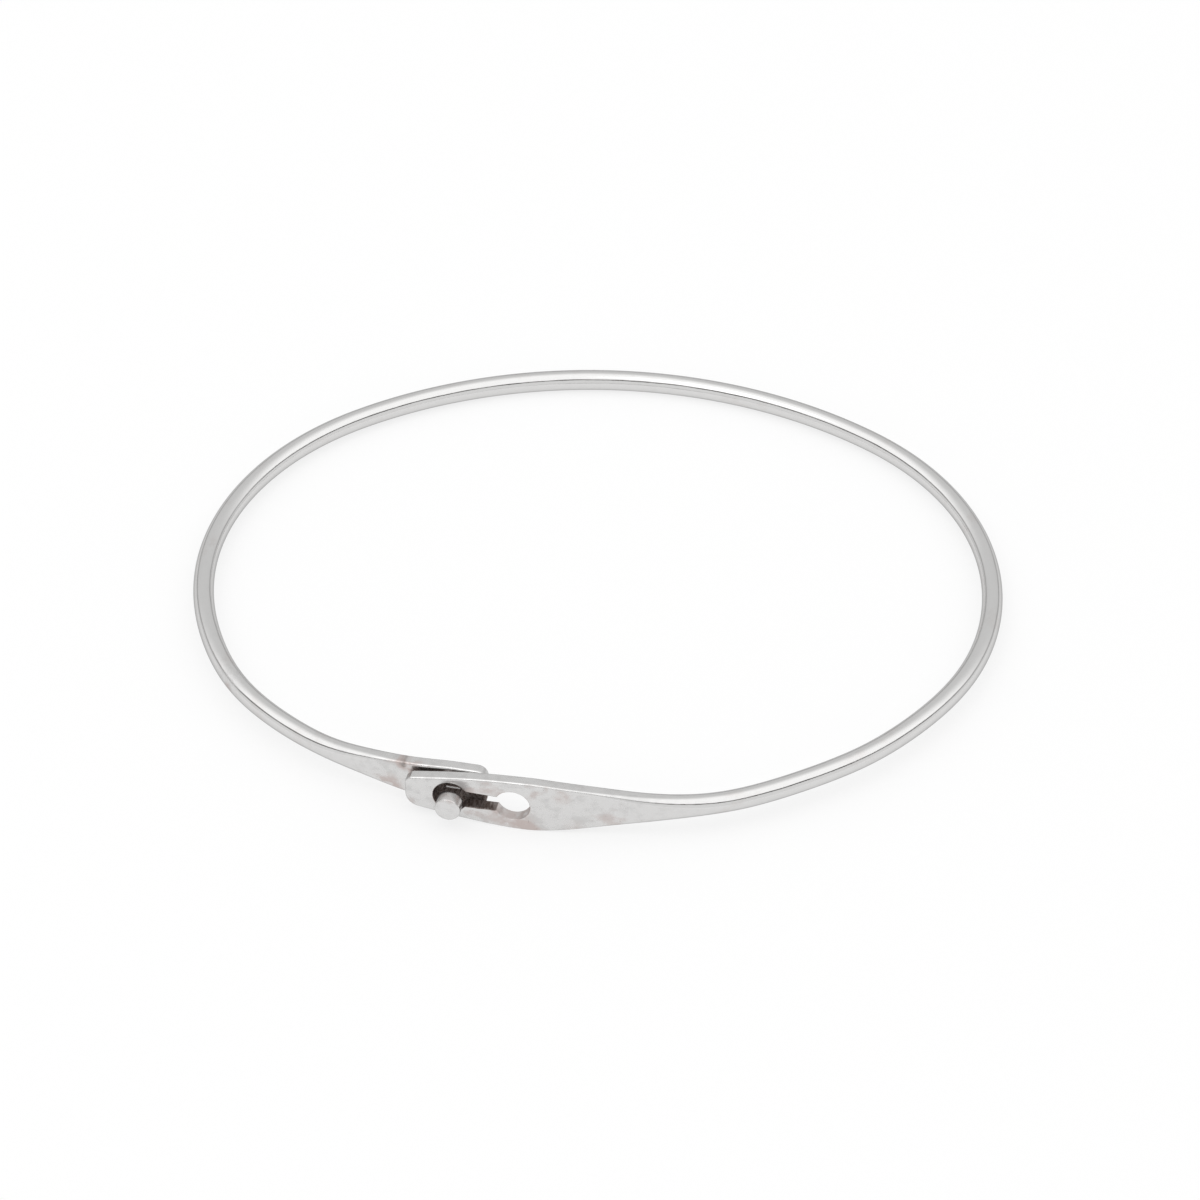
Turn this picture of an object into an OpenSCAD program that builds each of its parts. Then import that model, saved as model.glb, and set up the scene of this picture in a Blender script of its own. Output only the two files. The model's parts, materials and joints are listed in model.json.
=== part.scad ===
// Oval bangle bracelet: one round wire with both ends forged into flat blades,
// fastened by a headed stud that engages a two-hole keyhole.
//
// Origin at the centre of the oval, half way up the wire. +Z is the axis the wrist
// passes along, the clasp is at -Y, and the oval's long axis lies along X.
// The wire is sprung; five stretches joined by ball-and-cup seats stand for its flex.

/* [Band] */
// Outer width of the oval band
band_w = 60.8; // [58:0.1:63]
// Outer depth of the oval band, from the clasp to the back
band_d = 51.6; // [51.4:0.1:53]
// Radius of the band's left and right sides, on the wire's centre line
side_r = 22.9; // [22.8:0.05:23.2]
// Diameter of the round wire
wire_d = 1.55; // [1.2:0.05:1.8]

/* [Flat ends] */
// Thickness of both forged blades
blade_t = 0.95; // [0.8:0.05:1.1]
// Angle by which the fastened blades lean back from the X axis
blade_turn = 8.5; // [6:0.5:10]
// Greatest height of the front blade
front_h = 4.4; // [3.8:0.1:4.8]
// Height that the front blade runs down to at its tip
front_tip_h = 2.45; // [2:0.05:3]
// Length of the front blade from its tip to its widest place
front_leaf = 9.2; // [8:0.1:10]
// Length over which the front blade narrows back to round wire
front_taper = 14.5; // [10:0.5:17]
// Greatest height of the rear blade
rear_h = 3.35; // [2.8:0.05:3.8]
// Length of the rear blade from its tip to its widest place
rear_leaf = 2.5; // [1.5:0.1:3]
// Length over which the rear blade narrows back to round wire
rear_taper = 12; // [9:0.5:13]
// Radius along the long edges of both blades
edge_r = 0.18; // [0.1:0.02:0.3]
// Size of the chamfer on the upper corner of the front blade's tip
tip_cut = 0.4; // [0.2:0.05:0.6]
// Radius of the lower corner of the front blade's tip
tip_round = 1.15; // [0.6:0.05:1.2]
// Radius of both corners of the rear blade's tip
rear_tip_r = 0.8; // [0.5:0.05:1]

/* [Keyhole] */
// Diameter of the two round holes in the front blade
hole_d = 2.6; // [2.2:0.05:2.7]
// Distance between the centres of the two holes
hole_pitch = 4.6; // [4:0.1:5]
// Width of the slot that joins them
slot_w = 1.3; // [1.2:0.05:1.5]
// How far the stud sits past the lock hole's centre, towards the slot
stud_offset = 0.12; // [0:0.02:0.3]

/* [Stud] */
// Diameter of the stud's head
head_d = 1.9; // [1.6:0.05:1.9]
// Thickness of the stud's head
head_h = 1.15; // [0.8:0.05:1.3]
// Diameter of the stud's neck, before it is filed flat above and below
neck_d = 1.6; // [1.3:0.05:1.6]
// Height of the neck between its two flats, which slides in the slot
neck_h = 1.1; // [1.05:0.05:1.15]
// Diameter of the stud's tail, riveted in the rear blade
tail_d = 1; // [0.8:0.05:1]
// Size of the chamfer round the head's rim
rim_cut = 0.08; // [0.04:0.02:0.16]
// Clear space between the head and the front blade
head_lift = 0.3; // [0.2:0.05:0.5]
// Distance from the stud's axis to the tip of the front blade
front_tip_x = 3.5; // [3:0.1:4]
// Distance from the stud's axis to the tip of the rear blade
rear_tip_x = 2.3; // [2:0.1:2.8]
// Distance from the stud's axis to where the front blade starts to curve
straight_x = 3.8; // [3.4:0.1:4.2]

/* [Flex seats] */
// Clearance between each ball and its cup
seat_clear = 0.03; // [0.02:0.01:0.05]
// Space between the wire ends at each seat
seat_space = 0.3; // [0.25:0.05:0.4]
// Bearing of the seat on the left side, about the left front arc
rear_seat = 229.5; // [225:0.5:234]
// Bearing of the seat at the back left, about the back arc
left_seat = 113; // [108:0.5:118]
// Bearing of the seat at the back right, about the back arc
right_seat = 80; // [75:0.5:88]
// Bearing of the seat on the right side, about the right side arc
front_seat = 325; // [320:0.5:332]

/* [Hidden] */
$fn = 96;

SILVER = [0.80, 0.80, 0.79];
STUD_SILVER = [0.86, 0.86, 0.86];
WIRE_R = wire_d / 2;
// Balls are this much slimmer than the wire, and bridge this trim at both ends of an arc
BALL_R = WIRE_R - 0.03;
SPLICE = 0.04;
// The forged stretch is this much slimmer than the wire, and laps this far into it
SKIN = 0.02;
LAP = 0.5;
// How early each taper narrows: the smaller, the earlier
FRONT_EASE = 0.75;
REAR_EASE = 0.8;
// Points round each corner of a forged section, and sections along the stretch
RING_POINTS = 6;
RINGS = 24;

// The oval: four arcs that meet smoothly, given by its half axes on the centre line
HALF_W = band_w / 2 - WIRE_R;
HALF_D = band_d / 2 - WIRE_R;
SIDE_X = HALF_W - side_r;
LONG_R = (SIDE_X * SIDE_X + HALF_D * HALF_D - side_r * side_r) / (2 * (HALF_D - side_r));
LONG_Y = LONG_R - HALF_D;
CORNER = atan2(LONG_Y, SIDE_X);
LONG_CENTRE = [0, LONG_Y];
BACK_CENTRE = [0, -LONG_Y];
LEFT_CENTRE = [-SIDE_X, 0];
RIGHT_CENTRE = [SIDE_X, 0];

// The fastened blades lie along this direction, and face outwards along OUT
ALONG = [cos(blade_turn), -sin(blade_turn)];
OUT = [-sin(blade_turn), -cos(blade_turn)];

// Where each blade's straight stretch meets its arc, on the blade's middle plane
FRONT_KNEE = LONG_CENTRE + LONG_R * OUT;
REAR_KNEE = LEFT_CENTRE + side_r * OUT;
BLADE_GAP = (FRONT_KNEE - REAR_KNEE) * OUT - blade_t;
STUD = FRONT_KNEE - straight_x * ALONG;
STUD_ON_REAR = (STUD - REAR_KNEE) * ALONG;

// Distances along each path, from its knee, positive towards +X
FRONT_TIP = -straight_x - front_tip_x;
FRONT_WIDE = FRONT_TIP + front_leaf;
FRONT_END = FRONT_WIDE + front_taper;
REAR_TIP = STUD_ON_REAR + rear_tip_x;
REAR_WIDE = REAR_TIP - rear_leaf;
REAR_END = REAR_WIDE - rear_taper;

// A bearing in degrees for a length along an arc
function turn_for(length, radius) = length / radius * 180 / PI;
function mix(a, b, k) = a + (b - a) * k;
// A place on the wire's centre line: [x, y, bearing of the outward normal]
function on_arc(centre, radius, bearing) =
    concat(centre + radius * [cos(bearing), sin(bearing)], [bearing]);

// Places along the two clasp arms, straight in the blade and then round an arc
OUT_BEARING = 270 - blade_turn;
function front_path(s) = s < 0
    ? concat(FRONT_KNEE + s * ALONG, [OUT_BEARING])
    : on_arc(LONG_CENTRE, LONG_R, OUT_BEARING + turn_for(s, LONG_R));
function rear_path(s) = s > 0
    ? concat(REAR_KNEE + s * ALONG, [OUT_BEARING])
    : on_arc(LEFT_CENTRE, side_r, OUT_BEARING + turn_for(s, side_r));

// Fall from 1 at a blade's widest place to 0 where it is round wire again
function fall(v, ease) = (1 + cos(180 * pow(min(max(v, 0), 1), ease))) / 2;
function front_height(s) = s < FRONT_WIDE
    ? mix(front_tip_h, front_h, sin(90 * max(0, (s - FRONT_TIP) / front_leaf)))
    : mix(wire_d, front_h, fall((s - FRONT_WIDE) / front_taper, FRONT_EASE));
function rear_height(s) = mix(wire_d, rear_h, fall((REAR_WIDE - s) / rear_taper, REAR_EASE));
// How round the section is: 0 for a flat blade, 1 for wire
function roundness(v) = 1 - fall((v - 0.25) / 0.75, REAR_EASE);

// Outline of one section, across the blade and up it
function section(thick, height, corner) =
    let (y = thick / 2 - corner, z = height / 2 - corner)
    [for (q = [0:3]) for (i = [0:RING_POINTS])
        let (a = 90 * q + 90 * i / RING_POINTS)
        [(q == 0 || q == 3 ? y : -y) + corner * cos(a), (q < 2 ? z : -z) + corner * sin(a)]];

function ring_at(p, outline) =
    [for (c = outline) [p[0] + c[0] * cos(p[2]), p[1] + c[0] * sin(p[2]), c[1]]];

function front_ring(s) =
    let (k = roundness((s - FRONT_WIDE) / front_taper))
    ring_at(front_path(s), section(mix(blade_t, wire_d, k) - SKIN,
        front_height(s) - SKIN, mix(edge_r, WIRE_R - SKIN, k)));
function rear_ring(s) =
    let (k = roundness((REAR_WIDE - s) / rear_taper))
    ring_at(rear_path(s), section(mix(blade_t, wire_d, k) - SKIN,
        rear_height(s) - SKIN, mix(edge_r, WIRE_R - SKIN, k)));

// Solid through a list of rings that all have the same number of points
module loft(rings) {
    n = len(rings[0]);
    last = len(rings) - 1;
    polyhedron(
        points = [for (r = rings) each r],
        faces = concat(
            [[for (i = [0:n - 1]) n - 1 - i]],
            [for (k = [0:last - 1]) for (i = [0:n - 1])
                let (j = (i + 1) % n)
                [k * n + i, k * n + j, (k + 1) * n + j, (k + 1) * n + i]],
            [[for (i = [0:n - 1]) last * n + i]]
        ),
        convexity = 4
    );
}

// Round wire along an arc between two bearings, a hair short at both ends
module wire_arc(centre, radius, from, to) {
    trim = turn_for(SPLICE, radius);
    translate([centre[0], centre[1], 0])
        rotate([0, 0, from + trim])
            rotate_extrude(angle = to - from - 2 * trim)
                translate([radius, 0])
                    circle(r = WIRE_R);
}

// A ball on the wire's centre line, with its poles along the wire
module ball(place, extra = 0) {
    translate([place[0], place[1], 0])
        rotate([90, 0, place[2]])
            sphere(r = BALL_R + extra);
}

module cup(place) {
    ball(place, seat_clear);
}

module at_stud() {
    translate([STUD[0], STUD[1], 0])
        rotate([0, 0, -blade_turn])
            children();
}

// Seats on the wire's centre line
REAR_SEAT = on_arc(LEFT_CENTRE, side_r, rear_seat);
LEFT_SEAT = on_arc(BACK_CENTRE, LONG_R, left_seat);
RIGHT_SEAT = on_arc(BACK_CENTRE, LONG_R, right_seat);
FRONT_SEAT = on_arc(RIGHT_CENTRE, side_r, front_seat);

module back_band() {
    color(SILVER) {
        wire_arc(BACK_CENTRE, LONG_R, right_seat, left_seat);
        ball(RIGHT_SEAT);
        ball(LEFT_SEAT);
    }
}

module left_band() {
    color(SILVER)
        difference() {
            union() {
                wire_arc(BACK_CENTRE, LONG_R, left_seat + turn_for(seat_space, LONG_R), 180 - CORNER);
                ball(on_arc(LEFT_CENTRE, side_r, 180 - CORNER));
                wire_arc(LEFT_CENTRE, side_r, 180 - CORNER, rear_seat);
                ball(REAR_SEAT);
            }
            cup(LEFT_SEAT);
        }
}

module right_band() {
    color(SILVER)
        difference() {
            union() {
                wire_arc(RIGHT_CENTRE, side_r, front_seat - 360, CORNER);
                ball(on_arc(RIGHT_CENTRE, side_r, CORNER));
                wire_arc(BACK_CENTRE, LONG_R, CORNER, right_seat - turn_for(seat_space, LONG_R));
                ball(FRONT_SEAT);
            }
            cup(RIGHT_SEAT);
        }
}

// The two round holes and the slot between them, cut square through the blade
module keyhole() {
    depth = 3 * blade_t;
    for (x = [-stud_offset, hole_pitch - stud_offset])
        translate([x, 0, 0])
            rotate([90, 0, 0])
                cylinder(d = hole_d, h = depth, center = true);
    translate([hole_pitch / 2 - stud_offset, 0, 0])
        cube([hole_pitch, depth, slot_w], center = true);
}

// Side view of the front blade, from its tip: a small upper chamfer, a large lower round
module front_tip_outline() {
    half = front_height(FRONT_TIP + tip_cut) / 2;
    low = tip_round - front_height(FRONT_TIP + tip_round) / 2;
    far = front_leaf + front_taper + LAP + WIRE_R;
    translate([-front_tip_x, 0, 0])
        rotate([90, 0, 0])
            linear_extrude(height = 2 * far, center = true) {
                polygon([
                    [0, low], [0, half - tip_cut], [tip_cut, half], [tip_round, front_h],
                    [far, front_h], [far, -front_h], [tip_round, -front_h], [tip_round, low]
                ]);
                translate([tip_round, low])
                    circle(r = tip_round);
            }
}

// Side view of the rear blade, to its tip, with both corners rounded
module rear_tip_outline() {
    inset = rear_h / 2 - rear_tip_r;
    far = rear_leaf + rear_taper + LAP + WIRE_R;
    translate([rear_tip_x, 0, 0])
        rotate([90, 0, 0])
            linear_extrude(height = 2 * far, center = true) {
                translate([-far, -rear_h])
                    square([far - rear_tip_r, 2 * rear_h]);
                translate([-2 * rear_tip_r, -inset])
                    square([2 * rear_tip_r, 2 * inset]);
                for (z = [-inset, inset])
                    translate([-rear_tip_r, z])
                        circle(r = rear_tip_r);
            }
}

module front_arm() {
    color(SILVER)
        difference() {
            union() {
                intersection() {
                    loft([for (k = [0:RINGS])
                        front_ring(mix(FRONT_TIP - LAP, FRONT_END + LAP, k / RINGS))]);
                    at_stud()
                        front_tip_outline();
                }
                wire_arc(LONG_CENTRE, LONG_R, OUT_BEARING + turn_for(FRONT_END, LONG_R), 360 - CORNER);
                ball(on_arc(RIGHT_CENTRE, side_r, -CORNER));
                wire_arc(RIGHT_CENTRE, side_r, 360 - CORNER, front_seat - turn_for(seat_space, side_r));
            }
            at_stud()
                keyhole();
            cup(FRONT_SEAT);
        }
}

module rear_arm() {
    color(SILVER)
        difference() {
            union() {
                intersection() {
                    loft([for (k = [0:RINGS])
                        rear_ring(mix(REAR_END - LAP, REAR_TIP + LAP, k / RINGS))]);
                    at_stud()
                        rear_tip_outline();
                }
                wire_arc(LEFT_CENTRE, side_r, rear_seat + turn_for(seat_space, side_r),
                    OUT_BEARING + turn_for(REAR_END, side_r));
            }
            at_stud()
                rotate([90, 0, 0])
                    cylinder(d = tail_d, h = 4 * blade_t + 2 * BLADE_GAP, center = true);
            cup(REAR_SEAT);
        }
}

// Stud: a turned tail and head with a softened rim, and between them a neck with two flats
module clasp_stud() {
    shoulder = -(blade_t / 2 + BLADE_GAP);
    head_from = blade_t / 2 + head_lift;
    head_to = head_from + head_h;
    head_r = head_d / 2;
    color(STUD_SILVER)
        at_stud()
            rotate([90, 0, 0]) {
                translate([0, 0, shoulder - blade_t])
                    cylinder(d = tail_d, h = head_from - shoulder + blade_t);
                intersection() {
                    translate([0, 0, shoulder])
                        cylinder(d = neck_d, h = head_from - shoulder);
                    cube([2 * neck_d, neck_h, 4 * head_to], center = true);
                }
                rotate_extrude()
                    polygon([
                        [0, head_from], [head_r, head_from], [head_r, head_to - rim_cut],
                        [head_r - rim_cut, head_to], [0, head_to]
                    ]);
            }
}

back_band();
left_band();
right_band();
front_arm();
rear_arm();
clasp_stud();
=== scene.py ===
"""Looks of an oval sprung-wire bangle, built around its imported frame.

The band is one silver wire whose ends are forged into flat blades, with a headed stud riveted in the
rear blade and a keyhole cut in the front one. Sizes below are in millimetres and repeat the design;
the meshes are in metres. A place on the band is its distance along from the front blade's tip, how
far out it lies from the band's middle, and its height.
"""

import functools
import json
import math

import bpy
import numpy as np
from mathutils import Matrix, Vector, noise
from mathutils.geometry import delaunay_2d_cdt


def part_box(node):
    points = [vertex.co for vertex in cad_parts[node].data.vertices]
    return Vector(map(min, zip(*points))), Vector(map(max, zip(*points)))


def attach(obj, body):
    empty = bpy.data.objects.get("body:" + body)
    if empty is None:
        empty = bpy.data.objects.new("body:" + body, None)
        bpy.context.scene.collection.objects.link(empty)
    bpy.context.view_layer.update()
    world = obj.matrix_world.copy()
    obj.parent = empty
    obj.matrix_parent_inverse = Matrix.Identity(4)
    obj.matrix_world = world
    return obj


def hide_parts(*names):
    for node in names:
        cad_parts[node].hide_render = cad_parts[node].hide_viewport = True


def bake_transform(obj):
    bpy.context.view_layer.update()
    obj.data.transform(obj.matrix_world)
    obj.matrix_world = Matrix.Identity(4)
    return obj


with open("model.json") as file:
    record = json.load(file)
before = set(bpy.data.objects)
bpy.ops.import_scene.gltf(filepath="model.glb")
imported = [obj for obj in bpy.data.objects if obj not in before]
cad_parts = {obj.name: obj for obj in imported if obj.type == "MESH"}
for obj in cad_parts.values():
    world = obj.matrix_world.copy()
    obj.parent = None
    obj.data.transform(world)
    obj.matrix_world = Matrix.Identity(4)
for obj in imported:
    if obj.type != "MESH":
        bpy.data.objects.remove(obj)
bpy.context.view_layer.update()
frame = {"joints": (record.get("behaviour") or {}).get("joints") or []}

MM = 0.001

# ---------------------------------------------------------------- sizes of the design
BAND_W = 60.8
BAND_D = 51.6
SIDE_R = 22.9
WIRE_D = 1.55
WIRE_R = WIRE_D / 2

BLADE_T = 0.95
BLADE_TURN = math.radians(8.5)
EDGE_R = 0.18
FRONT_H = 4.4
FRONT_TIP_H = 2.45
FRONT_LEAF = 9.2
FRONT_TAPER = 14.5
FRONT_EASE = 0.75  # how early a taper narrows: the smaller, the earlier
REAR_H = 3.35
REAR_LEAF = 2.5
REAR_TAPER = 12.0
REAR_EASE = 0.8
TIP_CUT = 0.4
TIP_ROUND = 1.15
TIP_SOFTNESS = 0.12
REAR_TIP_R = 0.8

HOLE_R = 1.3
HOLE_PITCH = 4.6
SLOT_W = 1.3
STUD_OFFSET = 0.12
FRONT_TIP_X = 3.5  # from the stud to the front blade's tip
REAR_TIP_X = 2.3  # from the stud to the rear blade's tip
STRAIGHT_X = 3.8  # from the stud to where the front blade begins to curve

HEAD_R = 0.95
HEAD_H = 1.15
HEAD_LIFT = 0.3
NECK_R = 0.8
NECK_HALF = 0.55  # half the height of the neck between its two filed flats
TAIL_R = 0.5

# ---------------------------------------------------------------- the band's course
HALF_W = BAND_W / 2 - WIRE_R
HALF_D = BAND_D / 2 - WIRE_R
SIDE_X = HALF_W - SIDE_R
LONG_R = (SIDE_X**2 + HALF_D**2 - SIDE_R**2) / (2 * (HALF_D - SIDE_R))
LONG_Y = LONG_R - HALF_D
CORNER = math.atan2(LONG_Y, SIDE_X)

ALONG = Vector((math.cos(BLADE_TURN), -math.sin(BLADE_TURN)))
OUT = Vector((-math.sin(BLADE_TURN), -math.cos(BLADE_TURN)))
OUT_BEARING = 1.5 * math.pi - BLADE_TURN

FRONT_KNEE = Vector((0, LONG_Y)) + LONG_R * OUT
REAR_KNEE = Vector((-SIDE_X, 0)) + SIDE_R * OUT
BLADE_GAP = (FRONT_KNEE - REAR_KNEE).dot(OUT) - BLADE_T
STUD = FRONT_KNEE - STRAIGHT_X * ALONG
FRONT_STRAIGHT = STRAIGHT_X + FRONT_TIP_X
REAR_STRAIGHT = (STUD - REAR_KNEE).dot(ALONG) + REAR_TIP_X

# A stretch is a straight (start, direction, length) or an arc (centre, radius, from, to)
STRETCHES = [
    ("straight", FRONT_KNEE - FRONT_STRAIGHT * ALONG, ALONG, FRONT_STRAIGHT),
    ("arc", Vector((0, LONG_Y)), LONG_R, OUT_BEARING, 2 * math.pi - CORNER),
    ("arc", Vector((SIDE_X, 0)), SIDE_R, -CORNER, CORNER),
    ("arc", Vector((0, -LONG_Y)), LONG_R, CORNER, math.pi - CORNER),
    ("arc", Vector((-SIDE_X, 0)), SIDE_R, math.pi - CORNER, OUT_BEARING),
    ("straight", REAR_KNEE, ALONG, REAR_STRAIGHT),
]


def stretch_length(stretch):
    return stretch[3] if stretch[0] == "straight" else stretch[2] * (stretch[4] - stretch[3])


BAND_LENGTH = sum(stretch_length(s) for s in STRETCHES)


def course(along):
    """The band's middle at a distance from the front tip, and its outward direction there."""
    for stretch in STRETCHES:
        length = stretch_length(stretch)
        if along <= length or stretch is STRETCHES[-1]:
            break
        along -= length
    if stretch[0] == "straight":
        return stretch[1] + along * stretch[2], OUT
    bearing = stretch[3] + along / stretch[2]
    normal = Vector((math.cos(bearing), math.sin(bearing)))
    return stretch[1] + stretch[2] * normal, normal


# The wire is bent by hand: here it strays from its course by (out, up), over a reach along it
STRAYS = [
    (14.5, -0.12, 0.0, 3.0),
    (23.5, 0.36, 0.0, 5.0),
    (40.0, -0.24, 0.0, 6.0),
    (BAND_LENGTH - 22.5, 0.2, 0.0, 5.0),
    (BAND_LENGTH - 9.0, 0.0, 0.15, 3.0),
]


def stray(along):
    """How far out and up the band lies from its course."""
    shares = [math.exp(-(((along - spot) / reach) ** 2)) for spot, _, _, reach in STRAYS]
    out = sum(share * bend[1] for share, bend in zip(shares, STRAYS))
    up = sum(share * bend[2] for share, bend in zip(shares, STRAYS))
    return out, up


def place(along, out=0.0, up=0.0):
    """A point in the row frame, in metres, from its place on the band."""
    middle, normal = course(along)
    stray_out, stray_up = stray(along)
    return Vector((*(middle + (out + stray_out) * normal), up + stray_up)) * MM


def seat_along(joint_name):
    """The distance along the band at which a joint sits."""
    joint = next(j for j in frame["joints"] if j["name"] == joint_name)
    target = Vector(joint["pos_m"])
    steps = 3000
    return min(
        (BAND_LENGTH * k / steps for k in range(steps + 1)),
        key=lambda s: (place(s) - target).length,
    )


# ---------------------------------------------------------------- sections
FRONT_WIDE = FRONT_LEAF
FRONT_END = FRONT_LEAF + FRONT_TAPER
REAR_WIDE = BAND_LENGTH - REAR_LEAF
REAR_END = REAR_WIDE - REAR_TAPER
ROUND_FROM = 0.25  # share of a taper at which its section starts to turn round

# Points in a quarter of a section: half of an edge, a corner, half of a face
EDGE_STEPS = 4
CORNER_STEPS = 8
FACE_STEPS = 12
QUARTER = EDGE_STEPS + CORNER_STEPS + FACE_STEPS


def mix(a, b, k):
    return a + (b - a) * k


def clamp(v):
    return min(max(v, 0.0), 1.0)


def fall(v, ease):
    """From 1 at a blade's widest place to 0 where it is round wire again."""
    return (1 + math.cos(math.pi * clamp(v) ** ease)) / 2


def band_height(along):
    if along < FRONT_WIDE:
        return mix(FRONT_TIP_H, FRONT_H, math.sin(math.pi / 2 * max(0, along / FRONT_LEAF)))
    if along < REAR_END:
        return mix(WIRE_D, FRONT_H, fall((along - FRONT_WIDE) / FRONT_TAPER, FRONT_EASE))
    return mix(WIRE_D, REAR_H, fall((REAR_WIDE - along) / REAR_TAPER, REAR_EASE))


def roundness(along):
    """0 where the band is a flat blade, 1 where it is round wire."""
    front = (along - FRONT_WIDE) / FRONT_TAPER
    rear = (REAR_WIDE - along) / REAR_TAPER
    return 1 - fall((min(front, rear) - ROUND_FROM) / (1 - ROUND_FROM), REAR_EASE)


def section(along):
    """The points (out, up) round the band, from the middle of its upper edge over its outer face.

    There are always as many. They crowd at a blade's corners and spread evenly round the wire."""
    k = roundness(along)
    corner = mix(EDGE_R, WIRE_R, k)
    half_out = mix(BLADE_T, WIRE_D, k) / 2 - corner
    half_up = band_height(along) / 2 - corner
    runs = (
        (half_out, 0, EDGE_STEPS),
        (corner * math.pi / 2, EDGE_STEPS, CORNER_STEPS),
        (half_up, EDGE_STEPS + CORNER_STEPS, FACE_STEPS),
    )
    total = sum(length for length, _, _ in runs)
    points = []
    for n in range(4 * QUARTER):
        quarter, step = divmod(n, QUARTER)
        if quarter % 2:
            step = QUARTER - step
        crowded = sum(length * clamp((step - first) / steps) for length, first, steps in runs)
        run = mix(crowded, total * step / QUARTER, k)
        angle = min(max((run - half_out) / corner, 0), math.pi / 2)
        out = min(run, half_out) + corner * math.sin(angle)
        up = half_up + corner * math.cos(angle) - max(0, run - half_out - corner * math.pi / 2)
        points.append((out if quarter < 2 else -out, up if quarter in (0, 3) else -up))
    return points


# ---------------------------------------------------------------- tarnish and painted shade
# From 0 to 1: the wire is handled and bright, the blades are older, cut walls are brown, and the faces
# hidden between the blades are painted dark brown as shade, partly grime
WIRE_TARNISH = 0.1
BLADE_TARNISH = 0.4
HOLE_TARNISH = 0.62
# painted shade, partly grime: the faces between the two blades and the stud's neck are tarnished dark
# brown where shade falls
HIDDEN_TARNISH_AND_SHADE = 0.95
SLOT_TARNISH = 1.0
STUD_TARNISH = 0.3

# Darker spots: (along, up, reach, tarnish)
SPOTS = [
    (6.9, -1.1, 0.8, 0.66),
    (8.3, -1.7, 1.7, 0.60),
    (11.6, 1.2, 0.7, 0.62),
    (12.5, -1.6, 1.0, 0.52),
    # a dark brown mark across the rear blade's upper edge, where the front blade's tip lies over it
    (BAND_LENGTH - 6.2, 1.2, 0.45, 0.86),
    (BAND_LENGTH - 7.2, -0.8, 1.1, 0.62),
    (BAND_LENGTH - 22.7, -0.2, 1.1, 0.60),
]

# Grime and painted shade between the two blades, over the length where they lie against each other
LAPPED = FRONT_TIP_X + REAR_TIP_X
GRIME_AND_SHADE_INSET = 0.2  # how far inside the facing blade's edge it stops
GRIME_AND_SHADE_FADE = (3, 4, 5)  # how fast it fades out per millimetre: along, out, up


def grime_and_shade(along, out, up):
    """The share of grime and painted shade at a place on the band: only on the two faces that lie
    together.
    """
    inner = along < LAPPED and out < 0
    outer = along > BAND_LENGTH - LAPPED and out > 0
    if not (inner or outer):
        return 0
    depth = LAPPED - min(along, BAND_LENGTH - along)
    facing = BAND_LENGTH - depth if inner else depth
    cover = min(band_height(along), band_height(facing)) / 2 - GRIME_AND_SHADE_INSET
    insides = (depth, abs(out), cover - abs(up))
    return math.prod(clamp(fade * inside_by) for fade, inside_by in zip(GRIME_AND_SHADE_FADE, insides))


def wear_and_shade(along, out, up):
    """Tarnish at a place on the band, with painted shade, partly grime, on the faces that lie together.
    """
    tarnish = mix(BLADE_TARNISH, WIRE_TARNISH, roundness(along))
    for spot, height, reach, most in SPOTS:
        share = math.exp(-((along - spot) ** 2 + (up - height) ** 2) / reach**2)
        tarnish = max(tarnish, mix(tarnish, most, share))
    return mix(tarnish, HIDDEN_TARNISH_AND_SHADE, grime_and_shade(along, out, up))


# ---------------------------------------------------------------- meshes
RING_SPACING = 0.3
SHARP_TURN = math.radians(50)


class Skin:
    """Points and faces that grow into one piece of the band."""

    def __init__(self):
        self.points, self.grain, self.tarnish, self.faces = [], [], [], []

    def add(self, along, out, up, tarnish=None):
        if tarnish is None:
            tarnish = wear_and_shade(along, out, up)
        self.points.append(place(along, out, up))
        self.grain.append((along, out, up))
        self.tarnish.append(tarnish)
        return len(self.points) - 1

    def ring(self, along):
        return [self.add(along, out, up) for out, up in section(along)]

    def bridge(self, a, b, closed=True):
        """Quads between two rows of points."""
        for i in range(len(a) if closed else len(a) - 1):
            j = (i + 1) % len(a)
            self.faces.append((a[j], a[i], b[i], b[j]))

    def tube(self, rings):
        """A surface through rings of points that follow each other along the band."""
        for a, b in zip(rings, rings[1:]):
            self.bridge(b, a)

    def rings(self, start, end):
        """Sections after start, as far as end."""
        count = math.ceil((end - start) / RING_SPACING)
        return [self.ring(mix(start, end, (k + 1) / count)) for k in range(count)]

    def piece(self, name):
        return make_piece(name, self, silver("band_silver_look"))


def make_piece(name, skin, material):
    """A mesh whose points keep their place on the band for its patterns."""
    mesh = bpy.data.meshes.new(name)
    mesh.from_pydata(skin.points, [], skin.faces)
    mesh.shade_smooth()
    mesh.set_sharp_from_angle(angle=SHARP_TURN)
    grain = mesh.attributes.new("grain", "FLOAT_VECTOR", "POINT")
    grain.data.foreach_set("vector", [x for g in skin.grain for x in g])
    # the tarnish attribute also carries painted shade, where the blades lie together and on the stud's
    # neck
    tarnish = mesh.attributes.new("tarnish", "FLOAT", "POINT")
    tarnish.data.foreach_set("value", skin.tarnish)
    mesh.materials.append(material)
    piece = bpy.data.objects.new(name, mesh)
    bpy.context.scene.collection.objects.link(piece)
    return piece


# ---------------------------------------------------------------- outlines
def left_of(points, closed):
    """The direction to the left of a polyline at each point, lengthened at its corners."""
    found = []
    count = len(points)
    for i, p in enumerate(points):
        before = points[i - 1] if closed or i else 2 * p - points[1]
        after = points[(i + 1) % count] if closed or i < count - 1 else 2 * p - points[-2]
        a, b = (p - before).normalized(), (after - p).normalized()
        left = Vector((-(a + b).y, (a + b).x)).normalized()
        found.append(left / max(0.5, left.dot(Vector((-b.y, b.x)))))
    return found


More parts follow.
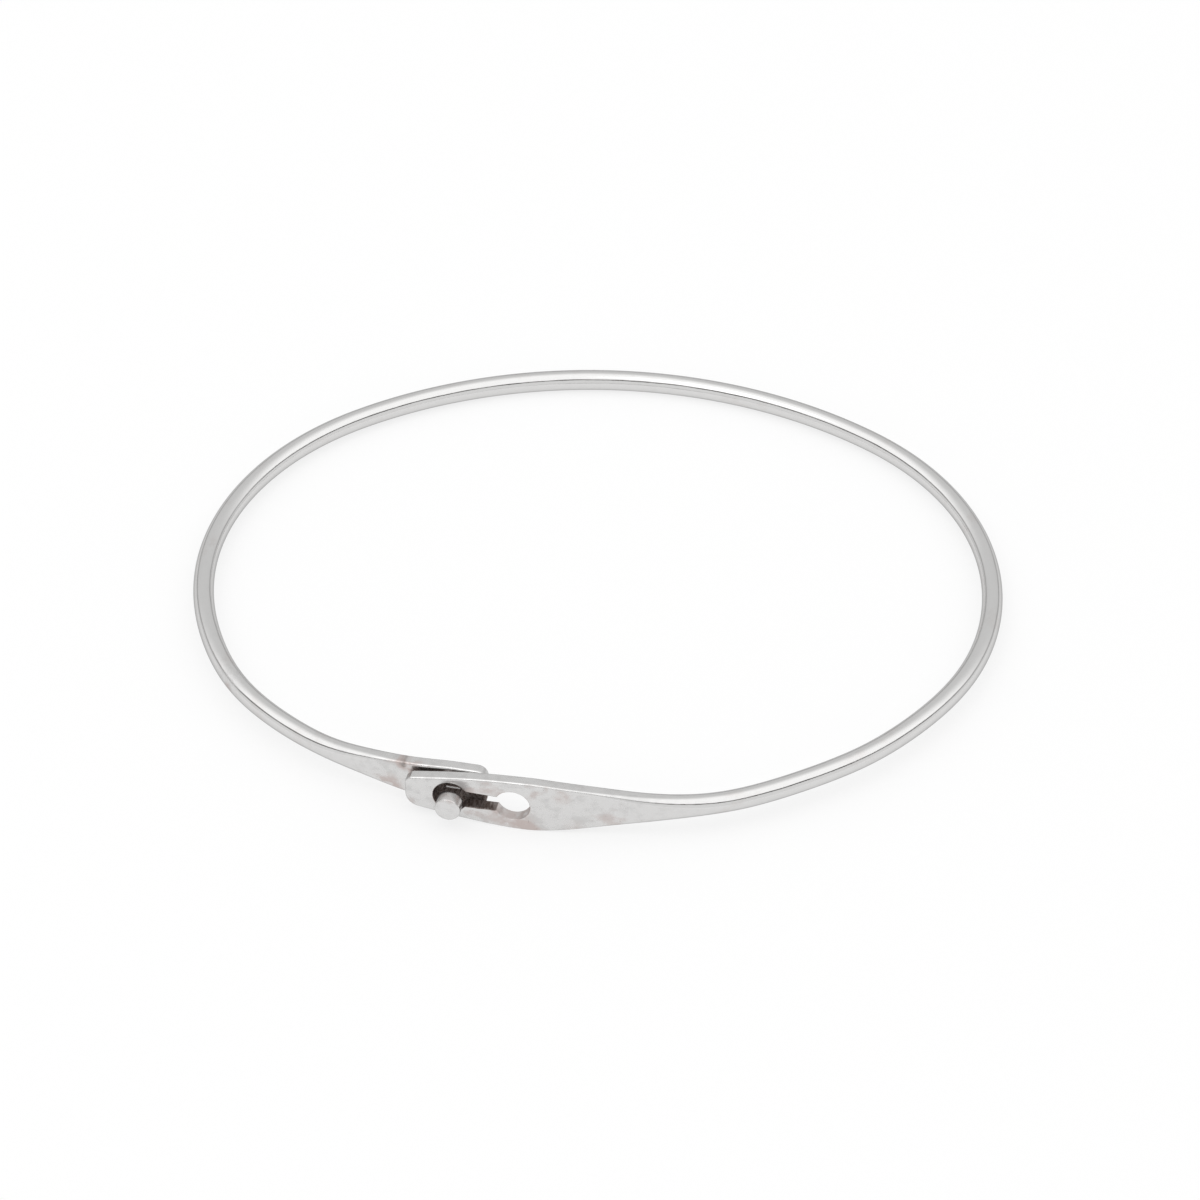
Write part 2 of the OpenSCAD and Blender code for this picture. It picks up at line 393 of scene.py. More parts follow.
def arc_points(centre, radius, start, end, steps):
    angles = (mix(start, end, k / steps) for k in range(steps + 1))
    return [Vector(centre) + radius * Vector((math.cos(a), math.sin(a))) for a in angles]


def spread(points, spacing):
    """The same polyline with points no further apart than spacing."""
    made = []
    for a, b in zip(points, points[1:]):
        steps = max(1, math.ceil((b - a).length / spacing))
        made += [a.lerp(b, k / steps) for k in range(steps)]
    return made + [points[-1]]


def softened(before, corner, after, size, steps=5):
    """A small curve that stands for a corner."""
    a = corner + (before - corner).normalized() * size
    b = corner + (after - corner).normalized() * size
    shares = [k / steps for k in range(steps + 1)]
    return [a.lerp(corner, t).lerp(corner.lerp(b, t), t) for t in shares]


def inside(points, polygon):
    """Which points lie in a closed polygon."""
    p = np.array(points)[:, None, :]
    a = np.array(polygon)[None]
    b = np.roll(a, -1, axis=1)
    rise = np.where(b[..., 1] == a[..., 1], 1e-12, b[..., 1] - a[..., 1])
    crossing = a[..., 0] + (p[..., 1] - a[..., 1]) / rise * (b[..., 0] - a[..., 0])
    spans = (a[..., 1] > p[..., 1]) != (b[..., 1] > p[..., 1])
    return (spans & (p[..., 0] < crossing)).sum(axis=1) % 2 == 1


def distance(points, polygon):
    """How far points lie from a closed polygon's sides."""
    p = np.array(points)[:, None, :]
    a = np.array(polygon)[None]
    side = np.roll(a, -1, axis=1) - a
    share = ((p - a) * side).sum(-1) / np.maximum((side**2).sum(-1), 1e-12)
    nearest = a + np.clip(share, 0, 1)[..., None] * side
    return np.linalg.norm(p - nearest, axis=-1).min(axis=1)


def rounded_profile(radius, corner_steps, flat_steps):
    """(inset, out) across a blade's thickness with two rounded corners, from front to back."""
    flat = BLADE_T / 2 - radius
    corner = []
    for n in range(corner_steps + 1):
        a = math.pi / 2 * (1 - n / corner_steps)
        corner.append((radius * (1 - math.cos(a)), flat + radius * math.sin(a)))
    middle = [(0, mix(flat, -flat, n / flat_steps)) for n in range(1, flat_steps)]
    return corner + middle + [(inset, -out) for inset, out in reversed(corner)]


# ---------------------------------------------------------------- flat blades
PLATE_SPACING = 0.2
FACE_ROWS = 2 * FACE_STEPS
RIM_CLEARANCE = 0.4 * PLATE_SPACING  # how far the points on a face keep from its rim
HOLE_CLEARANCE = 0.2 * PLATE_SPACING
HOLE_EDGE_R = 0.07
HOLE_EDGE_STEPS = 4
WALL_STEPS = 6


def edge_rows(skin, outline, inward):
    """Rows of points along a blade's rounded edge, from its outer face to its inner one."""
    rows = []
    for inset, out in rounded_profile(EDGE_R, CORNER_STEPS, 2 * EDGE_STEPS):
        row = [p + inset * d for p, d in zip(outline, inward)]
        rows.append([skin.add(p.x, out, p.y) for p in row])
    for a, b in zip(rows, rows[1:]):
        skin.bridge(a, b, closed=False)
    return rows


def hole_wall(skin, points, tarnish):
    """Rows of points round a hole's wall, from a blade's outer face to its inner one."""
    inner = left_of(points, closed=True)
    wall = []
    for inset, out in rounded_profile(HOLE_EDGE_R, HOLE_EDGE_STEPS, WALL_STEPS):
        row = [p - inset * d for p, d in zip(points, inner)]
        on_face = inset > 0.9 * HOLE_EDGE_R
        row_tarnish = [None] * len(row) if on_face else tarnish
        wall.append([skin.add(p.x, out, p.y, worn_and_shaded) for p, worn_and_shaded in zip(row, row_tarnish)])
    for a, b in zip(wall, wall[1:]):
        skin.bridge(b, a)
    return wall


def face_grid(rim, hole_loops):
    """Points spread over a blade's face, in the columns that its sections would have."""
    start, end = min(p.x for p in rim), max(p.x for p in rim)
    columns = math.ceil((end - start) / PLATE_SPACING)
    grid = []
    for i in range(1, columns):
        x = mix(start, end, i / columns)
        reach = band_height(x) / 2 - EDGE_R
        grid += [Vector((x, mix(reach, -reach, k / FACE_ROWS))) for k in range(1, FACE_ROWS)]
    good = inside(grid, rim) & (distance(grid, rim) > RIM_CLEARANCE)
    for loop in hole_loops:
        good &= ~inside(grid, loop) & (distance(grid, loop) > HOLE_CLEARANCE)
    return [p for p, ok in zip(grid, good) if ok]


def face_triangles(rim, hole_loops, grid):
    """Triangles that fill a face, as places in the list of rim, hole and grid points."""
    points, sides = [], []
    for loop in (rim, *hole_loops):
        first, count = len(points), len(loop)
        sides += [(first + i, first + (i + 1) % count) for i in range(count)]
        points += loop
    points += grid
    made, _, triangles, _, _, _ = delaunay_2d_cdt(points, sides, [], 0, 1e-6)
    if len(made) != len(points):
        raise RuntimeError("a blade's outline crosses itself")
    middles = [sum((points[i] for i in t), Vector((0, 0))) / 3 for t in triangles]
    good = inside(middles, rim)
    for loop in hole_loops:
        good &= ~inside(middles, loop)
    return [t for t, ok in zip(triangles, good) if ok]


def open_end(rows, columns, starts_above):
    """The ring of points round a blade's open end, in the order of a section's points."""
    upper, lower = (0, -1) if starts_above else (-1, 0)
    upper_edge = [row[upper] for row in rows]
    lower_edge = [row[lower] for row in rows]
    outer_down, inner_up = columns
    if starts_above:
        outer_down = outer_down[::-1]
    else:
        inner_up = inner_up[::-1]
    middle = len(rows) // 2
    return upper_edge[middle::-1] + outer_down + lower_edge + inner_up + upper_edge[:middle:-1]


def plate(skin, outline, holes):
    """A flat blade with rounded edges. Returns the ring of points at its open end.

    The outline runs round the tip from one side of the open end to the other, seen from outside the
    band, with the blade on its left. Each hole is (points, anticlockwise, and their wall's tarnish)."""
    inward = left_of(outline, closed=False)
    for end in (0, -1):
        inward[end] = Vector((0, -math.copysign(1, outline[end].y)))
    rows = edge_rows(skin, outline, inward)
    walls = [hole_wall(skin, points, tarnish) for points, tarnish in holes]

    edge = [p + EDGE_R * d for p, d in zip(outline, inward)]
    column = [edge[-1].lerp(edge[0], n / FACE_ROWS) for n in range(1, FACE_ROWS)]
    rim = edge + column
    hole_loops = []
    for points, _ in holes:
        inner = left_of(points, closed=True)
        hole_loops.append([p - HOLE_EDGE_R * d for p, d in zip(points, inner)])
    grid = face_grid(rim, hole_loops)
    triangles = face_triangles(rim, hole_loops, grid)

    columns = []
    for face, out in ((0, BLADE_T / 2), (-1, -BLADE_T / 2)):
        columns.append([skin.add(p.x, out, p.y) for p in column])
        ids = rows[face] + columns[-1]
        for wall in walls:
            ids += wall[face]
        ids += [skin.add(p.x, out, p.y) for p in grid]
        for a, b, c in triangles:
            corners = (ids[a], ids[b], ids[c])
            skin.faces.append(corners if face == 0 else corners[::-1])
    return open_end(rows, columns, outline[0].y > 0)


# ---------------------------------------------------------------- tips and keyhole
LOCK_AT = FRONT_TIP_X - STUD_OFFSET
ENTRY_AT = LOCK_AT + HOLE_PITCH
RIVET_AT = BAND_LENGTH - REAR_TIP_X
SLOT_AT_LOCK = SLOT_W + 0.1  # the slot is filed a little wider at the lock hole
SLOT_AT_ENTRY = SLOT_W - 0.06
SLOT_SPACING = 0.12
FILE_MARKS = 0.025  # how far the slot's walls wander
FILE_GRAIN = (2.5, 9, 3.7)  # how fast they wander along and up, and which wandering it is
ARC_STEPS = 28
SLOPE_REACH = 0.1


def edge_line(start, end, side):
    """Points along a blade's upper (side 1) or lower (side -1) edge."""
    steps = max(1, math.ceil(abs(end - start) / PLATE_SPACING))
    spots = (mix(start, end, k / steps) for k in range(steps + 1))
    return [Vector((x, side * band_height(x) / 2)) for x in spots]


def front_outline(join):
    """Round the front blade's tip: a chamfer on its upper corner, a large round on its lower one."""
    upper = band_height(TIP_CUT) / 2
    growth = band_height(TIP_ROUND + SLOPE_REACH) - band_height(TIP_ROUND - SLOPE_REACH)
    slope = math.atan(growth / (4 * SLOPE_REACH))
    meet_x = TIP_ROUND * (1 - math.sin(slope))
    meet = Vector((meet_x, -band_height(meet_x) / 2))
    centre = meet + TIP_ROUND * Vector((math.sin(slope), math.cos(slope)))
    before, cut = Vector((2 * TIP_CUT, band_height(2 * TIP_CUT) / 2)), Vector((TIP_CUT, upper))
    tip, below = Vector((0, upper - TIP_CUT)), Vector((0, centre.y))
    line = edge_line(join, 2 * TIP_CUT, 1)
    line += spread(softened(before, cut, tip, TIP_SOFTNESS), PLATE_SPACING)
    line += spread(softened(cut, tip, below, TIP_SOFTNESS) + [below], PLATE_SPACING)
    line += arc_points(centre, TIP_ROUND, math.pi, 1.5 * math.pi - slope, ARC_STEPS // 2)[1:-1]
    return line + edge_line(meet_x, join, -1)


def rear_outline(join):
    """Round the rear blade's tip, which has two round corners."""
    inset = REAR_H / 2 - REAR_TIP_R
    corner_x = BAND_LENGTH - REAR_TIP_R
    low = arc_points((corner_x, -inset), REAR_TIP_R, -math.pi / 2, 0, ARC_STEPS // 2)
    high = arc_points((corner_x, inset), REAR_TIP_R, 0, math.pi / 2, ARC_STEPS // 2)
    line = edge_line(join, corner_x, -1)[:-1] + low
    line += spread([low[-1], high[0]], PLATE_SPACING)[1:-1] + high
    return line + edge_line(corner_x, join, 1)[1:]


def filed(start, end):
    """Points between two ends, wandering as a file leaves them."""
    along, up, which = FILE_GRAIN
    made = []
    for p in spread([start, end], SLOT_SPACING)[1:-1]:
        wander = noise.noise(Vector((along * p.x, up * p.y, which)))
        made.append(p + Vector((0, FILE_MARKS * wander)))
    return made


def keyhole():
    """The two round holes and the slot between them, anticlockwise, with their walls' tarnish."""
    lock, entry = Vector((LOCK_AT, 0)), Vector((ENTRY_AT, 0))
    a = math.asin(SLOT_AT_LOCK / 2 / HOLE_R)
    b = math.asin(SLOT_AT_ENTRY / 2 / HOLE_R)
    lock_arc = arc_points(lock, HOLE_R, a, 2 * math.pi - a, 2 * ARC_STEPS)
    entry_arc = arc_points(entry, HOLE_R, b - math.pi, math.pi - b, 2 * ARC_STEPS)
    lower = filed(lock_arc[-1], entry_arc[0])
    upper = filed(entry_arc[-1], lock_arc[0])
    walls = [HOLE_TARNISH] * len(lock_arc) + [SLOT_TARNISH] * len(lower)
    walls += [HOLE_TARNISH] * len(entry_arc) + [SLOT_TARNISH] * len(upper)
    return lock_arc + lower + entry_arc + upper, walls


def rivet_hole():
    points = arc_points((RIVET_AT, 0), TAIL_R, 0, 2 * math.pi, 2 * ARC_STEPS)[:-1]
    return points, [HOLE_TARNISH] * len(points)


# ---------------------------------------------------------------- pieces of the band
# A blade is a plate as far as its join and rings as far as its seam, where the first wire starts
FRONT_JOIN = FRONT_STRAIGHT + 4.5
REAR_JOIN = BAND_LENGTH - REAR_STRAIGHT - 0.4
FRONT_SEAM = FRONT_END + 1.5
REAR_SEAM = REAR_END + 2.5
FLEX_REACH = 14.0  # a reach from a seat, each way; the band's place there is found and not used
FLEX_SHARE = 0.9  # and how much of a wire's length that may be at most


def front_blade(seam):
    skin = Skin()
    ring = plate(skin, front_outline(FRONT_JOIN), [keyhole()])
    rings = [ring, *skin.rings(FRONT_JOIN, seam)]
    skin.tube(rings)
    skin.faces.append(rings[-1])
    return skin.piece("front_blade")


def rear_blade(seam):
    skin = Skin()
    ring = plate(skin, rear_outline(REAR_JOIN), [rivet_hole()])
    rings = [skin.ring(seam), *skin.rings(seam, REAR_JOIN)[:-1], ring]
    skin.tube(rings)
    skin.faces.append(rings[0][::-1])
    return skin.piece("rear_blade")


def wire(name, start, end):
    skin = Skin()
    rings = [skin.ring(start), *skin.rings(start, end)]
    skin.tube(rings)
    skin.faces += [rings[0][::-1], rings[-1]]
    return skin.piece(name)


def make_band():
    """Six lengths of one wire that meet inside its rigid stretches; each of the four wires runs across
    one of its seats.
    """
    seats = [seat_along(n) for n in ("open", "open_follow", "squeeze", "squeeze_follow")]
    bodies = ["front_end", "right", "back", "left", "rear_end"]
    nodes = ["front_arm", "right_band", "back_band", "left_band", "rear_arm"]
    middles = [(a + b) / 2 for a, b in zip(seats, seats[1:])]
    seams = [FRONT_SEAM, *middles, REAR_SEAM]
    blade = front_blade(seams[0])
    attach(blade, "front_end")
    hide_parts("front_arm")
    for i, seat in enumerate(seats):
        piece = wire(f"wire_{bodies[i]}_to_{bodies[i + 1]}", seams[i], seams[i + 1])
        reach = min(FLEX_REACH, FLEX_SHARE * (seat - seams[i]), FLEX_SHARE * (seams[i + 1] - seat))
        place(seat - reach)
        place(seat + reach)
        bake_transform(piece)
        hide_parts(nodes[i], nodes[i + 1])
    blade = rear_blade(seams[-1])
    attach(blade, "rear_end")
    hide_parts("rear_arm")


# ---------------------------------------------------------------- stud
STUD_SEGMENTS = 96
TAIL_FIT = 0.005  # how much thinner the tail is than its hole
RIVET_R = 0.74
RIVET_DOME = 0.13
NECK_BEVEL = 0.05  # the file leaves a bright bevel across the neck, and a hair more metal behind it
NECK_STEP = 0.03
GRIME_AND_SHADE_STEP = 0.06  # over which the neck's grime and painted shade begins in front of the bevel
HEAD_BEVEL = 0.05
HEAD_EDGE_R = 0.11
HEAD_DOME = 0.03

# How far out from the front blade's middle each part of the stud ends
NECK_FROM = -(BLADE_T / 2 + BLADE_GAP)
TAIL_FROM = NECK_FROM - BLADE_T
HEAD_FROM = BLADE_T / 2 + HEAD_LIFT
HEAD_TO = HEAD_FROM + HEAD_H


def tail_profile():
    """(radius, out) up the rivet's dome and the tail."""
    angles = np.linspace(0, math.pi / 2, 9)[1:]
    dome = [(RIVET_R * math.sin(a), TAIL_FROM - RIVET_DOME * math.cos(a)) for a in angles]
    return dome + [(TAIL_R - TAIL_FIT, TAIL_FROM), (TAIL_R - TAIL_FIT, NECK_FROM)]


def neck_profile():
    """(half height, out, tarnish and painted shade) along the neck, whose bright bevel lies just behind
    the middle. On both sides of the bevel the neck is painted dark brown as shade, partly grime.
    """
    back, front = NECK_HALF + NECK_STEP, NECK_HALF - NECK_STEP
    return [
        # painted shade, partly grime: the neck is dark brown inside the keyhole and the gap between the
        # blades
        (back, NECK_FROM, HIDDEN_TARNISH_AND_SHADE),
        (back, mix(NECK_FROM, -NECK_BEVEL, 0.9), HIDDEN_TARNISH_AND_SHADE),
        (back, -NECK_BEVEL, STUD_TARNISH),
        (front, 0, STUD_TARNISH),
        (front, GRIME_AND_SHADE_STEP, HIDDEN_TARNISH_AND_SHADE),
        (front, HEAD_FROM, HIDDEN_TARNISH_AND_SHADE),
    ]


def head_profile():
    """(radius, out) from under the head, round its edge and over its slightly domed face."""
    side_from, side_to = HEAD_FROM + HEAD_BEVEL, HEAD_TO - HEAD_EDGE_R
    side = [(HEAD_R, mix(side_from, side_to, k)) for k in (0, 0.25, 0.5, 0.75)]
    edge = []
    for a in np.linspace(0, math.pi / 2, 9):
        inset, drop = HEAD_EDGE_R * (1 - math.cos(a)), HEAD_EDGE_R * (1 - math.sin(a))
        edge.append((HEAD_R - inset, HEAD_TO - drop))
    flat_r = HEAD_R - HEAD_EDGE_R
    face = [(flat_r * k, HEAD_TO + HEAD_DOME * (1 - k * k)) for k in (0.95, 0.8, 0.6, 0.4, 0.2)]
    return [(HEAD_R - HEAD_BEVEL, HEAD_FROM)] + side + edge + face


def stud_point(skin, x, out, z, tarnish):
    point = STUD + x * ALONG + out * OUT
    skin.points.append(Vector((point.x, point.y, z)) * MM)
    skin.grain.append((x, out, z))
    skin.tarnish.append(tarnish)
    return len(skin.points) - 1


def stud_row(skin, radius, out, half_height, tarnish):
    """One row of points round the stud, cut off above and below."""
    row = []
    for k in range(STUD_SEGMENTS):
        a = 2 * math.pi * k / STUD_SEGMENTS
        x, z = radius * math.cos(a), radius * math.sin(a)
        z = max(-half_height, min(half_height, z))
        row.append(stud_point(skin, x, out, z, tarnish))
    return row


def make_stud():
    skin = Skin()
    rows = [stud_row(skin, r, out, r, STUD_TARNISH) for r, out in tail_profile()]
    rows += [stud_row(skin, NECK_R, out, half, tarnish) for half, out, tarnish in neck_profile()]
    rows += [stud_row(skin, r, out, r, STUD_TARNISH) for r, out in head_profile()]
    for a, b in zip(rows, rows[1:]):
        skin.bridge(b, a)
    inner = stud_point(skin, 0, TAIL_FROM - RIVET_DOME, 0, STUD_TARNISH)
    outer = stud_point(skin, 0, HEAD_TO + HEAD_DOME, 0, STUD_TARNISH)
    for k in range(STUD_SEGMENTS):
        j = (k + 1) % STUD_SEGMENTS
        skin.faces.append((inner, rows[0][j], rows[0][k]))
        skin.faces.append((outer, rows[-1][k], rows[-1][j]))
    stud = make_piece("stud", skin, silver("stud_silver_look", shine=0.9))
    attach(stud, "rear_end")
    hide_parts("clasp_stud")


# ---------------------------------------------------------------- materials
class Nodes:
    """Short words for building a material's nodes."""

    def __init__(self, tree):
        self.tree = tree

    def new(self, kind, **inputs):
        node = self.tree.nodes.new(kind)
        for name, value in inputs.items():
            self.set(node.inputs[name.replace("_", " ")], value)
        return node

    def set(self, socket, value):
        if isinstance(value, bpy.types.NodeSocket):
            self.tree.links.new(value, socket)
        else:
            socket.default_value = value

    def attribute(self, name, output):
        node = self.new("ShaderNodeAttribute")
        node.attribute_name = name
        return node.outputs[output]

    def math(self, operation, a, b=0.0, clamped=False):
        node = self.new("ShaderNodeMath")
        node.operation, node.use_clamp = operation, clamped
        self.set(node.inputs[0], a)
        self.set(node.inputs[1], b)
        return node.outputs[0]

    def times(self, *values):
        return functools.reduce(lambda a, b: self.math("MULTIPLY", a, b), values)

    def plus(self, a, b, clamped=False):
        return self.math("ADD", a, b, clamped)

    def weighted(self, start, parts):
        """start, plus each value times its weight."""
        for value, weight in parts:
            start = self.plus(start, self.times(value, weight))
        return start

    def noise(self, vector, scale, detail=2.0, roughness=0.5, turn=0.0):
        """A cloudy pattern, drawn out and turned where it has three scales."""
        if isinstance(scale, tuple):
            stretched = self.new("ShaderNodeMapping", Vector=vector, Scale=scale, Rotation=(0, turn, 0))
            vector, scale = stretched.outputs["Vector"], 1.0
        inputs = {"Vector": vector, "Scale": scale, "Detail": detail, "Roughness": roughness}
        return self.new("ShaderNodeTexNoise", **inputs).outputs["Fac"]

    def ramp(self, value, low, high, to_low=0.0, to_high=1.0):
        """From to_low where a value is at low, smoothly to to_high where it is at high."""
        node = self.new("ShaderNodeMapRange", Value=value, From_Min=low, From_Max=high)
        node.interpolation_type = "SMOOTHSTEP"
        self.set(node.inputs["To Min"], to_low)
        self.set(node.inputs["To Max"], to_high)
        return node.outputs["Result"]

    def mix(self, share, a, b):
        node = self.new("ShaderNodeMix")
        node.data_type = "RGBA"
        self.set(node.inputs["Factor"], share)
        self.set(node.inputs[6], a)
        self.set(node.inputs[7], b)
        return node.outputs[2]


CLEAN = (0.68, 0.675, 0.67, 1)
DULL = (0.60, 0.595, 0.59, 1)
PINKISH = (0.55, 0.485, 0.465, 1)
# brown of cut walls, also used as painted shade where the blades lie together and on the stud's neck
BROWN_CUT_AND_SHADE = (0.14, 0.105, 0.09, 1)
PIT = (0.12, 0.09, 0.08, 1)
EDGE_TINT = (0.55, 0.55, 0.55, 1)  # silver seen at a flat angle

# Pattern scales, in repeats per millimetre: one number, or (along, out, up)
PATCHES = (0.35, 0.6, 0.6)
CLOUDS = (1.1, 1.5, 1.5)
SPECKLES = 5.0
DOTS = 9.0
CUT_STREAKS = (7.0, 1.5, 7.0)
LONG_SCRATCHES = (0.5, 14.0, 14.0)
CROSS_SCRATCHES = (9.0, 9.0, 0.8)
HAMMER_WAVES = (0.45, 0.9, 0.9)
LONG_TURN = 0.05
CROSS_TURN = 0.6

BASE_ROUGHNESS = 0.13
RELIEF_DEPTH = 0.01
RELIEF_STRENGTH = 0.5


def silver_layers(n, grain, worn_and_shaded):
    """The shares of dull skin, of pinkish tarnish, of pits and of brown cut wall, which also paints shade
    on the faces hidden between the blades and on the stud's neck.
    """
    patches = n.noise(grain, PATCHES, 3.0, 0.55)
    clouds = n.noise(grain, CLOUDS, 4.0, 0.6)
    dull = n.times(n.ramp(clouds, 0.42, 0.68), n.ramp(worn_and_shaded, 0.0, 0.45))

    stained = n.ramp(n.times(patches, n.weighted(0.7, [(clouds, 0.6)])), 0.56, 0.74)
    stained = n.times(stained, n.ramp(worn_and_shaded, 0.05, 0.5, to_low=0.15, to_high=0.8))
    rubbed = n.times(n.ramp(worn_and_shaded, 0.43, 0.62), n.ramp(clouds, 0.35, 0.6, to_low=0.3, to_high=0.9))
    pinkish = n.plus(stained, rubbed, clamped=True)

    dots = n.noise(grain, DOTS)
    pits = n.times(n.ramp(dots, 0.69, 0.77), n.ramp(clouds, 0.42, 0.58), n.ramp(worn_and_shaded, 0.1, 0.4))
    # brown cut walls, and painted shade on the hidden faces and the neck, whose tarnish is set near 1
    cut = n.ramp(worn_and_shaded, 0.6, 0.95)
    return dull, pinkish, pits, cut


def silver_colour(n, grain, layers):
    dull, pinkish, pits, cut = layers
    streaks = n.noise(grain, CUT_STREAKS, 3.0, 0.6)
    # the brown of cut walls and of the painted shade on hidden faces and the neck
    brown_cut_and_shade = n.times(cut, n.ramp(streaks, 0.35, 0.62, to_low=1.0, to_high=0.62))
    colour = n.mix(dull, CLEAN, DULL)
    colour = n.mix(pinkish, colour, PINKISH)
    colour = n.mix(brown_cut_and_shade, colour, BROWN_CUT_AND_SHADE)
    return n.mix(n.times(pits, 0.6), colour, PIT)


def silver_roughness(n, worn_and_shaded, shine, layers):
    dull, pinkish, _, cut = layers
    handled = n.ramp(worn_and_shaded, 0.1, 0.4)
    parts = [(dull, 0.08), (pinkish, 0.08), (handled, 0.12), (cut, 0.3)]
    return n.weighted(BASE_ROUGHNESS / shine, parts)


def silver_relief(n, grain, layers):
    """Fine scratches along and across the metal, the slow waves of forging, pits, and rough cuts."""
    _, _, pits, cut = layers
    long_scratches = n.noise(grain, LONG_SCRATCHES, turn=LONG_TURN)
    cross_scratches = n.noise(grain, CROSS_SCRATCHES, turn=CROSS_TURN)
    waves = n.noise(grain, HAMMER_WAVES, 1.0)
    rough_cut = n.times(n.noise(grain, SPECKLES, 3.0, 0.6), cut)
    parts = [(long_scratches, 0.35), (cross_scratches, 0.2), (waves, 3.0), (pits, -0.8), (rough_cut, 2.5)]
    height = n.weighted(0.0, parts)
    bump = n.new("ShaderNodeBump", Height=height, Strength=RELIEF_STRENGTH, Distance=RELIEF_DEPTH * MM)
    return bump.outputs["Normal"]


@functools.cache
def silver(name, shine=1.0):
    """Polished silver with dull patches, pinkish tarnish, pits and fine scratches, brown on cut walls,
    and brown painted shade where the blades lie together and on the stud's neck.

    Patterns follow the metal: their coordinates are millimetres along, out of and up the band."""
    material = bpy.data.materials.new(name)
    material.use_nodes = True
    n = Nodes(material.node_tree)
    grain = n.attribute("grain", "Vector")
    # the tarnish attribute also carries painted shade, where the blades lie together and on the stud's
    # neck
    worn_and_shaded = n.attribute("tarnish", "Fac")
    layers = silver_layers(n, grain, worn_and_shaded)
    surface = material.node_tree.nodes["Principled BSDF"]
    surface.inputs["Metallic"].default_value = 1.0
    surface.inputs["Specular Tint"].default_value = EDGE_TINT
    n.set(surface.inputs["Base Color"], silver_colour(n, grain, layers))
    n.set(surface.inputs["Roughness"], silver_roughness(n, worn_and_shaded, shine, layers))
    n.set(surface.inputs["Normal"], silver_relief(n, grain, layers))
    return material


# ---------------------------------------------------------------- studio
FLOOR_SIZE = 4.0
FLOOR_COLOUR = (0.25, 0.25, 0.25, 1)
FLOOR_GLOW = 0.72

SKY_FRONT = (1.35, 1.35, 1.35, 1)
SKY_BACK = (0.80, 0.80, 0.80, 1)
WALL_FRONT = (0.93, 0.93, 0.93, 1)
FRONT_TO_BACK = (0.1, 0.75)  # where the front gives way to the back, from -1 in front to 1 behind

SEAM = (0.05, 0.045, 0.04, 1)
SEAM_HEIGHT = 0.41
SEAM_FALL = 0.30  # how much lower it lies towards the back
SEAM_BLUR = 0.02
SEAM_DARK = 0.05  # half of the width that is fully dark
SEAM_WIDE = 0.10  # half of its whole width
SEAM_FADE = (-0.3, 0.8)  # from where to where it grows fainter towards the back
SEAM_FAINT = 0.35

LAMP_SIZE = 0.5
LAMP_POWER = 0.4
LAMP_PLACE = Vector((-0.25, -0.25, 0.75))

CAMERA_RISE = math.radians(40)
CAMERA_BEARING = math.radians(3.93)
CAMERA_DISTANCE = 0.55
AIM = Vector((0.28, -1.56, 0)) * MM
LENS = 220.1


def make_floor():
    """A pale floor under the two places that the bangle stands on: a blade's edge and the back wire."""
    blade_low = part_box("front_arm")[0]
    back_low, back_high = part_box("back_band")
    rise = (back_low.z - blade_low.z) / (back_high.y - blade_low.y)
    level = blade_low.z - rise * blade_low.y
    half = FLOOR_SIZE / 2
    corners = [(-half, -half), (half, -half), (half, half), (-half, half)]
    mesh = bpy.data.meshes.new("floor")
    mesh.from_pydata([(x, y, level + rise * y) for x, y in corners], [], [(0, 1, 2, 3)])
    floor = bpy.data.objects.new("floor", mesh)
    bpy.context.scene.collection.objects.link(floor)
    material = bpy.data.materials.new("pale_floor")
    material.use_nodes = True
    surface = material.node_tree.nodes["Principled BSDF"]
    surface.inputs["Base Color"].default_value = FLOOR_COLOUR
    surface.inputs["Roughness"].default_value = 0.9
    surface.inputs["Specular IOR Level"].default_value = 0.1
    surface.inputs["Emission Color"].default_value = (1, 1, 1, 1)
    surface.inputs["Emission Strength"].default_value = FLOOR_GLOW
    mesh.materials.append(material)


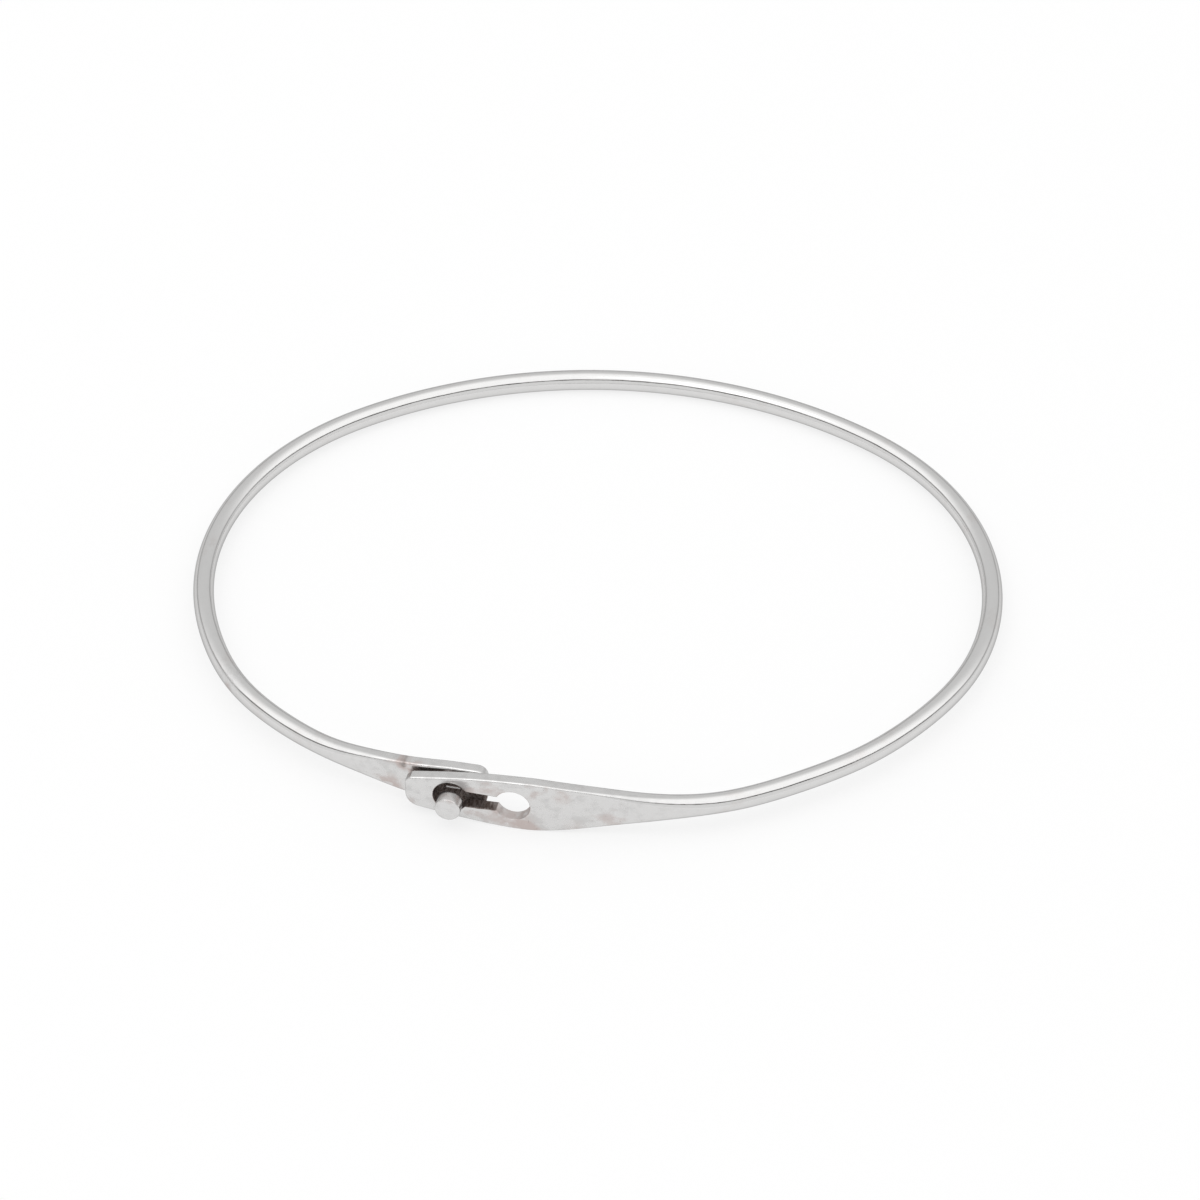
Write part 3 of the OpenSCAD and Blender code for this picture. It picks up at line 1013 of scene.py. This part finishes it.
def make_sky():
    """A studio: bright overhead and in front, greyer low down and behind, with a dark seam round it."""
    world = bpy.data.worlds.new("studio")
    bpy.context.scene.world = world
    world.use_nodes = True
    n = Nodes(world.node_tree)
    direction = n.new("ShaderNodeTexCoord").outputs["Generated"]
    parts = n.new("ShaderNodeSeparateXYZ", Vector=direction).outputs
    behind = n.ramp(parts["Y"], *FRONT_TO_BACK)
    above = n.plus(n.weighted(parts["Z"], [(parts["Y"], SEAM_FALL)]), -SEAM_HEIGHT)
    roof = n.mix(behind, SKY_FRONT, SKY_BACK)
    wall = n.mix(behind, WALL_FRONT, SKY_BACK)
    studio = n.mix(n.ramp(above, -SEAM_BLUR, SEAM_BLUR), wall, roof)
    seam = n.ramp(n.math("ABSOLUTE", above), SEAM_DARK, SEAM_WIDE, to_low=1.0, to_high=0.0)
    fainter_behind = n.ramp(parts["Y"], *SEAM_FADE, to_low=1.0, to_high=SEAM_FAINT)
    background = world.node_tree.nodes["Background"]
    n.set(background.inputs["Color"], n.mix(n.times(seam, fainter_behind), studio, SEAM))


def make_softbox():
    """One wide soft light above the front left."""
    light = bpy.data.lights.new("softbox", "AREA")
    light.shape, light.size = "DISK", LAMP_SIZE
    light.energy = LAMP_POWER
    lamp = bpy.data.objects.new("softbox", light)
    lamp.location = LAMP_PLACE
    lamp.rotation_euler = (-LAMP_PLACE).to_track_quat("-Z", "Y").to_euler()
    bpy.context.scene.collection.objects.link(lamp)


def make_camera():
    camera = bpy.data.objects.new("camera", bpy.data.cameras.new("camera"))
    camera.data.lens = LENS
    camera.data.clip_start, camera.data.clip_end = 0.01, 20
    level = math.cos(CAMERA_RISE)
    sideways, forwards = math.sin(CAMERA_BEARING) * level, math.cos(CAMERA_BEARING) * level
    back = Vector((sideways, -forwards, math.sin(CAMERA_RISE)))
    camera.location = AIM + CAMERA_DISTANCE * back
    camera.rotation_euler = (-back).to_track_quat("-Z", "Y").to_euler()
    bpy.context.scene.collection.objects.link(camera)
    bpy.context.scene.camera = camera


make_camera()
make_band()
make_stud()
make_floor()
make_sky()
make_softbox()
bpy.context.scene.view_settings.view_transform = "Standard"
